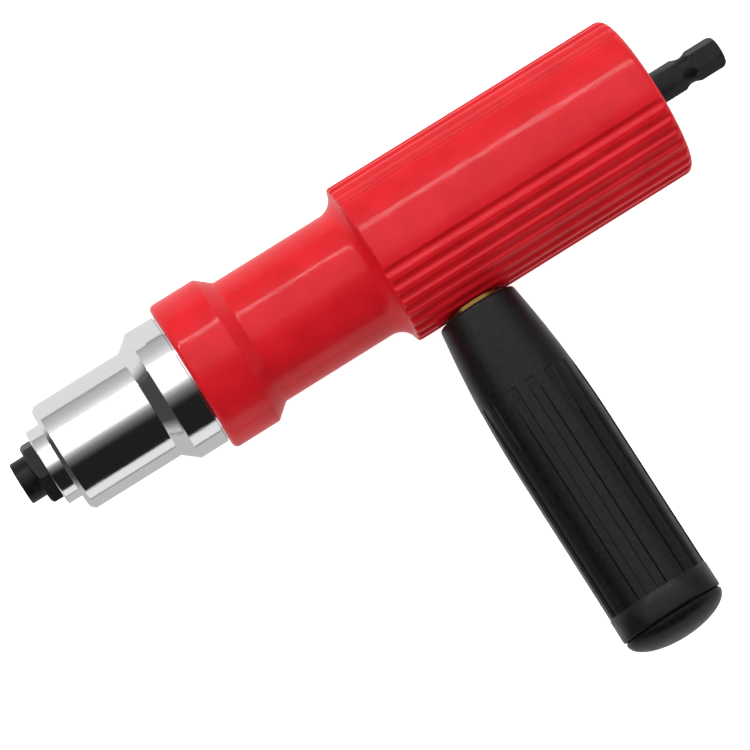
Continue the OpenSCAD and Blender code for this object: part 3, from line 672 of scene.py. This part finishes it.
# Radii and lengths run from the screw at the front to the hexagonal shank.
spindle = dict(
    screwRadius=7, screwPitch=2, screwLead=0.6, seatFromTail=60.7, landRadius=9.5, landLength=6,
    seatRadius=9.97, seatLength=10, flangeRadius=14.5, flangeLength=4, backRadius=10, backLength=1,
    bearingRadius=8.47, bearingLength=10.03, clipRadius=7.7, clipWidth=1.3, lipWidth=1.5, lipTaper=0.5,
    journalRadius=8, shankWidth=8, shankTurn=58, tipEdge=1.8, grooveFromTip=10.6,
    grooveDepth=0.8, grooveRadius=3.7, turns=360,
)


def makeSpindle():
    s = spindle
    start = low("drive_spindle").x
    seat = tool["tail"] - s["seatFromTail"]
    screwEnd = seat - s["landLength"]
    flange = seat + s["seatLength"]
    back = flange + s["flangeLength"]
    bearing = back + s["backLength"]
    clip = bearing + s["bearingLength"]
    lip = clip + s["clipWidth"]
    lipEnd = lip + s["lipWidth"]
    coverEnd = tool["coverEnd"]
    tip = tool["tip"]
    corner = s["shankWidth"] / 2 / math.cos(math.pi / 6)
    blank = corner + 0.02  # just past the hexagon's corners
    groove = tip - s["grooveFromTip"]
    reach = math.sqrt(s["grooveRadius"] ** 2 - (s["grooveRadius"] - s["grooveDepth"]) ** 2)
    corners = [(start, 0, 0), (start, threadRoot(s["screwRadius"], s["screwPitch"]), 0)]
    corners += threadCorners(s["screwRadius"], s["screwPitch"], start + s["screwLead"], screwEnd)
    corners += [
        (screwEnd, s["landRadius"], 0), (seat, s["landRadius"], 0),
        (seat, s["seatRadius"], 0), (flange, s["seatRadius"], 0),
        (flange, s["flangeRadius"], 0.3), (back, s["flangeRadius"], 0.3),
        (back, s["backRadius"], 0), (bearing, s["backRadius"], 0),
        (bearing, s["bearingRadius"], 0), (clip, s["bearingRadius"], 0),
        (clip, s["clipRadius"], 0), (lip, s["clipRadius"], 0),
        (lip, s["bearingRadius"], 0), (lipEnd, s["bearingRadius"], 0),
        (lipEnd + s["lipTaper"], s["journalRadius"], 0),
        (coverEnd, s["journalRadius"], 0.5), (coverEnd, blank, 0.3)]
    outline = roundedOutline(corners, closed=False)
    half = math.degrees(math.asin(reach / s["grooveRadius"]))
    outline += [(groove - reach - 3, blank)]
    outline += arcPoints(groove, corner - s["grooveDepth"] + s["grooveRadius"], s["grooveRadius"],
                         180 + half, 180 - half, 14)
    outline += arcPoints(tip - s["tipEdge"], corner - s["tipEdge"], s["tipEdge"], 0, 90, 8)
    outline += [(tip, 0)]
    limit = hexLimit(s["shankWidth"], math.radians(s["shankTurn"]), coverEnd + 0.01, tip)
    piece = turnedPiece("hexShankSpindle", outline, s["turns"], limit=limit, sharp=24)
    standFor(piece, "drive_spindle")


cover = dict(radius=19.0, bushRadius=10.03, sealRadius=11.5, sealDepth=4, threadPitch=1.5,
             threadLead=0.7, rimLength=2, holeRadius=1.6, holeLine=15.25, turns=200)


def makeCover():
    c = cover
    end = tool["coverEnd"]
    front = low("rear_cover").x
    root = threadRoot(c["radius"], c["threadPitch"])
    thread = front + c["threadLead"]
    rim = end - c["rimLength"]
    corners = [(front, c["bushRadius"], 0), (front, root, 0), (thread - 0.1, root, 0)]
    corners += threadCorners(c["radius"], c["threadPitch"], thread, rim - 0.1)
    corners += [
        (rim, c["radius"], 0), (end, c["radius"], 0.5), (end, c["sealRadius"], 0.2),
        (end - c["sealDepth"], c["sealRadius"], 0), (end - c["sealDepth"], c["bushRadius"], 0)]
    piece = turnedPiece("rearCover", roundedOutline(corners), c["turns"])
    for side in (-1, 1):
        bm = bmesh.new()
        place = Matrix.Translation([mm(end), 0, side * mm(c["holeLine"])])
        spot = place @ Matrix.Rotation(math.pi / 2, 4, "Y")
        bmesh.ops.create_cone(bm, cap_ends=True, segments=48, radius1=mm(c["holeRadius"]),
                              radius2=mm(c["holeRadius"]), depth=mm(2 * c["sealDepth"]), matrix=spot)
        cutter = finishMesh("spannerHoleCutter", bm)
        cut = piece.modifiers.new("spannerHole", "BOOLEAN")
        cut.object = cutter
        cut.operation = "DIFFERENCE"
        cut.solver = "EXACT"
        settle(piece)
        bpy.data.objects.remove(cutter)
    crispEdges(piece, 25)
    standFor(piece, "rear_cover")


# The side handle's grip is turned, and a geometry tree cuts its slots.
grip = dict(
    topRadius=11.2, radius=14.5, swellLength=43, topEdge=1, bandLength=7, bandRise=0.2,
    ribs=15, ribStart=24.4, ribTurn=3, slotFloor=13.7, slotWall=0.25,
    studRadius=5.03, studEnd=34, studHeadRadius=8.03, studHeadLength=6, coreRadius=10.5,
    coreLength=41.2, socketRadius=11.5, socketLength=5, fitGap=0.03, turns=720,
)


def gripOutline():
    g = grip
    top, end = handle["top"], handle["gripEnd"]
    rise = g["radius"] - g["topRadius"]
    swell = (g["swellLength"] ** 2 + rise ** 2) / (2 * rise)  # radius of the side's long curve

    def side(depth):
        if depth >= g["swellLength"]:
            return g["radius"]
        return g["radius"] - swell + math.sqrt(swell ** 2 - (g["swellLength"] - depth) ** 2)

    # rings stand closer where the slots start and where they end
    start = g["ribStart"]
    band = end - top - g["bandLength"]
    depths = evenly(3, start - 0.5, 17) + evenly(start - 0.3, start + 0.45, 6)
    depths += evenly(start + 1, g["swellLength"], 15) + evenly(band - 0.5, band - 0.1, 5)
    outline = arcPoints(top + g["topEdge"], side(1.2) - g["topEdge"], g["topEdge"], -90, -5, 8)
    outline += [(top + depth, side(depth)) for depth in depths]
    rim = g["radius"] + g["bandRise"]
    outline += [(end - g["bandLength"], g["radius"]), (end - g["bandLength"] + g["bandRise"], rim)]
    outline += arcPoints(end - 0.5, rim - 0.5, 0.5, 0, 90, 6)
    studBottom = top + g["studEnd"] + g["fitGap"]
    studHead = top + g["studEnd"] - g["studHeadLength"] - g["fitGap"]
    outline += [
        (end, g["socketRadius"]), (end - g["socketLength"], g["socketRadius"]),
        (end - g["socketLength"], g["coreRadius"]), (end - g["coreLength"], g["coreRadius"]),
        (end - g["coreLength"], 0)]
    stud = [(top, g["studRadius"]), (studHead, g["studRadius"]), (studHead, g["studHeadRadius"]),
            (studBottom, g["studHeadRadius"]), (studBottom, 0)]
    return stud[::-1] + outline


def ribTree(material):
    tree, given = newGeometryTree("gripRibs", [
        "rib step", "rib turn", "handle x", "slot floor", "slot wall", "slot width", "side radius",
        "slot start", "slot end"])
    position = addNode(tree, "GeometryNodeInputPosition").outputs[0]
    split = addNode(tree, "ShaderNodeSeparateXYZ", {0: position})
    known = dict(given, x=split.outputs[0], y=split.outputs[1], z=split.outputs[2])
    addFormula(tree, known, [
        ("across", "SUBTRACT", "x", "handle x"),
        ("acrossSquare", "MULTIPLY", "across", "across"),
        ("upSquare", "MULTIPLY", "z", "z"),
        ("square", "ADD", "acrossSquare", "upSquare"),
        ("radius", "SQRT", "square"),
        ("turn", "ARCTAN2", "z", "across"),
        ("turned", "SUBTRACT", "turn", "rib turn"),
        ("steps", "DIVIDE", "turned", "rib step"),
        ("whole", "FLOOR", "steps"),
        ("part", "SUBTRACT", "steps", "whole"),
        ("middle", "SUBTRACT", "part", 0.5),
        ("offTurn", "MULTIPLY", "middle", "rib step"),
        ("offSize", "ABSOLUTE", "offTurn"),
        ("offLength", "MULTIPLY", "offSize", "side radius"),
        ("halfSlot", "MULTIPLY", "slot width", 0.5),
        ("inSlot", "SUBTRACT", "halfSlot", "offLength"),
        ("wallShare", "DIVIDE", "inSlot", "slot wall"),
        ("wall", "SMOOTH_MIN", "wallShare", 1.0, 0.3),
        ("wallFoot", "MAXIMUM", "wall", 0.0),
        ("cosine", "COSINE", "offTurn"),
        ("floor", "DIVIDE", "slot floor", "cosine"),
        ("proud", "SUBTRACT", "radius", "floor"),
        ("cut", "MAXIMUM", "proud", 0.0),
        ("down", "MULTIPLY", "y", -1.0),
        ("pastStart", "GREATER_THAN", "down", "slot start"),
        ("beforeEnd", "LESS_THAN", "down", "slot end"),
        ("along", "MULTIPLY", "pastStart", "beforeEnd"),
        ("cutHere", "MULTIPLY", "cut", "along"),
        ("cutDepth", "MULTIPLY", "cutHere", "wallFoot"),
        ("newRadius", "SUBTRACT", "radius", "cutDepth"),
        ("safeRadius", "MAXIMUM", "radius", 1e-6),
        ("shrink", "DIVIDE", "newRadius", "safeRadius"),
        ("newAcross", "MULTIPLY", "across", "shrink"),
        ("newX", "ADD", "newAcross", "handle x"),
        ("newZ", "MULTIPLY", "z", "shrink"),
    ])
    place = addNode(tree, "ShaderNodeCombineXYZ", {0: known["newX"], 1: known["y"], 2: known["newZ"]})
    moved = addNode(tree, "GeometryNodeSetPosition", {0: known["Geometry"], "Position": place.outputs[0]})
    closeGeometryTree(tree, moved.outputs[0], material)
    return tree


def makeGrip():
    g = grip
    piece = turnedPiece("ribbedGrip", gripOutline(), g["turns"], line="handle")
    step = 2 * math.pi / g["ribs"]
    applyTree(piece, ribTree(finishes["black_plastic"]), {
        "rib step": step,
        "rib turn": math.radians(g["ribTurn"]),
        "handle x": mm(handle["axis"]),
        "slot floor": mm(g["slotFloor"]),
        "slot wall": mm(g["slotWall"]),
        "slot width": mm(math.pi * g["radius"] / g["ribs"]),
        "side radius": mm(g["radius"]),
        "slot start": mm(handle["top"] + g["ribStart"]),
        "slot end": mm(handle["gripEnd"] - g["bandLength"] - 0.15),
    })
    crispEdges(piece, 50)
    standFor(piece, "handle_grip")


cap = dict(radius=14.4, edge=0.7, rimStep=0.6, plugRadius=11.47, plugLength=4.9, fitGap=0.03,
           domeSteps=24, turns=256)


def makeCap():
    c = cap
    end, tip = handle["gripEnd"], handle["capTip"]
    plug = end - c["plugLength"]
    seat = end + c["fitGap"]
    dome = end + c["edge"]
    corners = [
        (plug, 0, 0), (plug, c["plugRadius"], 0.3), (seat, c["plugRadius"], 0),
        (seat, c["radius"] - c["rimStep"], 0.2), (dome, c["radius"], 0)]
    outline = roundedOutline(corners, closed=False)
    for i in range(1, c["domeSteps"]):
        turn = math.pi / 2 * i / c["domeSteps"]
        outline.append((dome + (tip - dome) * math.sin(turn), c["radius"] * math.cos(turn)))
    outline.append((tip, 0))
    piece = turnedPiece("domedCap", outline, c["turns"], line="handle", sharp=30)
    standFor(piece, "handle_cap")


washer = dict(radius=8, hole=5.45, edge=0.25, turns=160)


def makeWasher():
    w = washer
    near, far = -high("handle_washer").y, -low("handle_washer").y
    outline = roundedOutline([(near, w["hole"], w["edge"]), (near, w["radius"], w["edge"]),
                              (far, w["radius"], w["edge"]), (far, w["hole"], w["edge"])])
    piece = turnedPiece("handleWasher", outline, w["turns"], line="handle")
    standFor(piece, "handle_washer")


for make in (makeHousing, makeSleeve, makeNosepiece, makeSpindle, makeCover, makeWasher, makeGrip, makeCap):
    make()
    print("piece made:", make.__name__[4:])


studio = dict(
    floorDrop=0.4, floorSize=12000, floorColour="#F4F4F4", floorGlow=0.86, backdrop="#FAFAFA",
    peak=1.3, noseEnd=0.05, tailEnd=0.34, endsFrom=0.76, endsTo=0.94, endBlend=0.5,
    # (degrees from straight up towards the handle side, brightness from 0 to 1): what the
    # polished parts mirror, as long panels beside the tool
    panels=[
        (-180, 0.64), (-87, 0.67), (-84, 0.20), (-81, 0.36), (-62, 0.48), (-46, 0.74),
        (-38, 1.00), (4, 1.00), (9, 0.42), (18, 0.16), (30, 0.04), (35, 0.012),
        (90, 0.012), (95, 0.70), (116, 0.72), (119, 0.06), (122, 0.45), (180, 0.42)],
    lamps=dict(
        stripLight=dict(tilt=-40, distance=900, width=30, length=1500, brightness=22, mirrored=True),
        fillLight=dict(tilt=40, distance=1100, width=900, length=900, brightness=0.8, mirrored=False),
        topLight=dict(tilt=-10, distance=1200, width=900, length=900, brightness=1.12, mirrored=False),
    ),
)


def makeFloor():
    s = studio
    half = mm(s["floorSize"] / 2)
    height = cadBox[0][2] - mm(s["floorDrop"])
    bm = bmesh.new()
    places = ((-half, -half), (half, -half), (half, half), (-half, half))
    bm.faces.new([bm.verts.new((x, y, height)) for x, y in places])
    floor = finishMesh("paleFloor", bm)
    material = bpy.data.materials.new("matt white table")
    material.use_nodes = True
    tree = material.node_tree
    tree.nodes.clear()
    matt = addNode(tree, "ShaderNodeBsdfPrincipled", {
        "Base Color": linear(s["floorColour"]), "Roughness": 0.9, "Specular IOR Level": 0.1,
        "Emission Color": linear("#FFFFFF"), "Emission Strength": s["floorGlow"]})
    clear = addNode(tree, "ShaderNodeBsdfTransparent")
    behind = addNode(tree, "ShaderNodeNewGeometry").outputs["Backfacing"]
    both = addNode(tree, "ShaderNodeMixShader", {0: behind, 1: matt.outputs[0], 2: clear.outputs[0]})
    addNode(tree, "ShaderNodeOutputMaterial", {"Surface": both.outputs[0]})
    floor.data.materials.append(material)
    floor.visible_glossy = False


def makeWorld():
    s = studio
    world = bpy.data.worlds.new("soft studio")
    bpy.context.scene.world = world
    world.use_nodes = True
    tree = world.node_tree
    tree.nodes.clear()
    direction = addNode(tree, "ShaderNodeTexCoord").outputs["Generated"]
    split = addNode(tree, "ShaderNodeSeparateXYZ", {0: direction})
    known = addFormula(tree, dict(x=split.outputs[0], y=split.outputs[1], z=split.outputs[2]), [
        ("toHandle", "MULTIPLY", "y", -1.0),
        ("tilt", "ARCTAN2", "toHandle", "z"),
        ("turn", "DIVIDE", "tilt", 2 * math.pi),
        ("place", "ADD", "turn", 0.5),
        ("endOn", "ABSOLUTE", "x"),
    ])
    ramp = addNode(tree, "ShaderNodeValToRGB", {0: known["place"]})
    elements = ramp.color_ramp.elements
    while len(elements) < len(s["panels"]):
        elements.new(0.5)
    for element, (angle, level) in zip(elements, s["panels"]):
        element.position = angle / 360 + 0.5
    for element, (angle, level) in zip(elements, s["panels"]):
        element.color = (level, level, level, 1)
    # the panels end before the tool's own line: the room is dark past the nose, grey past the tail
    ends = addNode(tree, "ShaderNodeMapRange", {
        "Value": known["endOn"], "From Min": s["endsFrom"], "From Max": s["endsTo"]},
        interpolation_type="SMOOTHSTEP")
    endGrey = addNode(tree, "ShaderNodeMapRange", {
        "Value": known["x"], "From Min": -s["endBlend"], "From Max": s["endBlend"],
        "To Min": s["noseEnd"], "To Max": s["tailEnd"]})
    room = addNode(tree, "ShaderNodeMix", {0: ends.outputs[0], 6: ramp.outputs[0], 7: endGrey.outputs[0]},
                   data_type="RGBA")
    panels = addNode(tree, "ShaderNodeBackground", {0: room.outputs[2], 1: s["peak"]})
    plain = addNode(tree, "ShaderNodeBackground", {0: linear(s["backdrop"]), 1: 1.0})
    seen = addNode(tree, "ShaderNodeLightPath").outputs["Is Camera Ray"]
    both = addNode(tree, "ShaderNodeMixShader", {0: seen, 1: panels.outputs[0], 2: plain.outputs[0]})
    addNode(tree, "ShaderNodeOutputWorld", {0: both.outputs[0]})


# A soft panel over the tool, tilted from straight up towards the handle side. Brightness is
# its radiance, so a wider panel isn't a weaker one.
def addPanel(name, tilt, distance, width, length, brightness, mirrored):
    lamp = bpy.data.lights.new(name, "AREA")
    lamp.shape = "RECTANGLE"
    lamp.size = mm(length)
    lamp.size_y = mm(width)
    lamp.energy = brightness * math.pi * lamp.size * lamp.size_y
    panel = bpy.data.objects.new(name, lamp)
    bpy.context.scene.collection.objects.link(panel)
    middle = Vector(((cadBox[0][0] + cadBox[1][0]) / 2, 0, 0))
    turn = math.radians(tilt)
    away = Vector((0, -math.sin(turn), math.cos(turn)))
    across = Vector((1, 0, 0))
    panel.matrix_world = Matrix((across, away.cross(across), away)).transposed().to_4x4()
    panel.location = middle + away * mm(distance)
    panel.visible_camera = False
    panel.visible_glossy = mirrored


cameraPlace = dict(
    azimuth=22.739, elevation=81.892, roll=9.449, distance=1055.2, lens=192.96,
    aimFromNose=93.85, aimToHandle=25.03,
)


def makeCamera():
    c = cameraPlace
    azimuth, elevation, roll = (math.radians(c[key]) for key in ("azimuth", "elevation", "roll"))
    away = Vector((-math.sin(azimuth) * math.cos(elevation), -math.cos(azimuth) * math.cos(elevation),
                   math.sin(elevation)))
    right = (-away).cross(Vector((0, 0, 1))).normalized()
    up = right.cross(-away)
    rolledRight = right * math.cos(roll) - up * math.sin(roll)
    rolledUp = right * math.sin(roll) + up * math.cos(roll)
    aim = Vector((mm(tool["nose"] + c["aimFromNose"]), -mm(c["aimToHandle"]), 0))
    data = bpy.data.cameras.new("studioCamera")
    data.lens = c["lens"]
    data.sensor_width = 36
    data.clip_start = 0.05
    data.clip_end = 50
    camera = bpy.data.objects.new("studioCamera", data)
    bpy.context.scene.collection.objects.link(camera)
    camera.matrix_world = Matrix((rolledRight, rolledUp, away)).transposed().to_4x4()
    camera.location = aim + away * mm(c["distance"])
    bpy.context.scene.camera = camera


makeFloor()
makeWorld()
for lampName, lamp in studio["lamps"].items():
    addPanel(lampName, **lamp)
makeCamera()
bpy.context.scene.view_settings.view_transform = "Standard"
print("floor, light and camera set")
